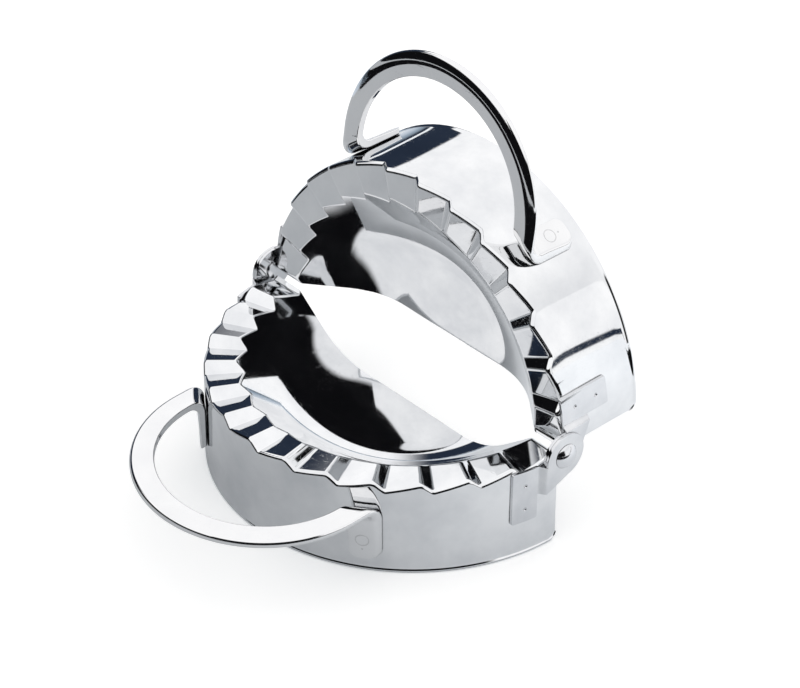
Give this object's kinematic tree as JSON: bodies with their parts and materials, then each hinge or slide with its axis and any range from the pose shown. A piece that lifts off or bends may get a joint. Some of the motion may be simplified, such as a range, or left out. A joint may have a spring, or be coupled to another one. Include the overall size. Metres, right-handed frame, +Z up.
{
  "type": "empanada press",
  "caption": "Hinged stainless press that folds a filled disc of dough and crimps its edge, with a toothed ring and dish in each half-round half, and strap handles.",
  "frame": {"origin": "centre of the press's plan, in the plane that the lower half's rim rests on, with the upper half standing open at a right angle", "axes": "+X along the hinge, +Y from the lower handle towards the hinge and the back of the upper half, +Z up"},
  "size_m": [0.1296, 0.1236, 0.1235],
  "materials": {
    "shell_steel": "mirror polished drawn stainless sheet",
    "handle_steel": "mirror polished stainless strap",
    "leaf_steel": "polished stainless strip with fine scuffs and weld dimples",
    "rivet_steel": "polished stainless rivet"
  },
  "bodies": {
    "lower_half": {"lower_shell": "shell_steel", "lower_handle": "handle_steel", "lower_hinge_leaf_left": "leaf_steel", "lower_hinge_leaf_right": "leaf_steel", "hinge_rivet_left": "rivet_steel", "hinge_rivet_right": "rivet_steel"},
    "upper_half": {"upper_shell": "shell_steel", "upper_handle": "handle_steel", "upper_hinge_leaf_left": "leaf_steel", "upper_hinge_leaf_right": "leaf_steel"}
  },
  "joints": [
    {"name": "press_hinge", "type": "hinge", "parent": "lower_half", "child": "upper_half", "pos_m": [0, 0.03126, 0.0305], "axis": [1, 0, 0], "range_deg": [-90, 91]}
  ]
}
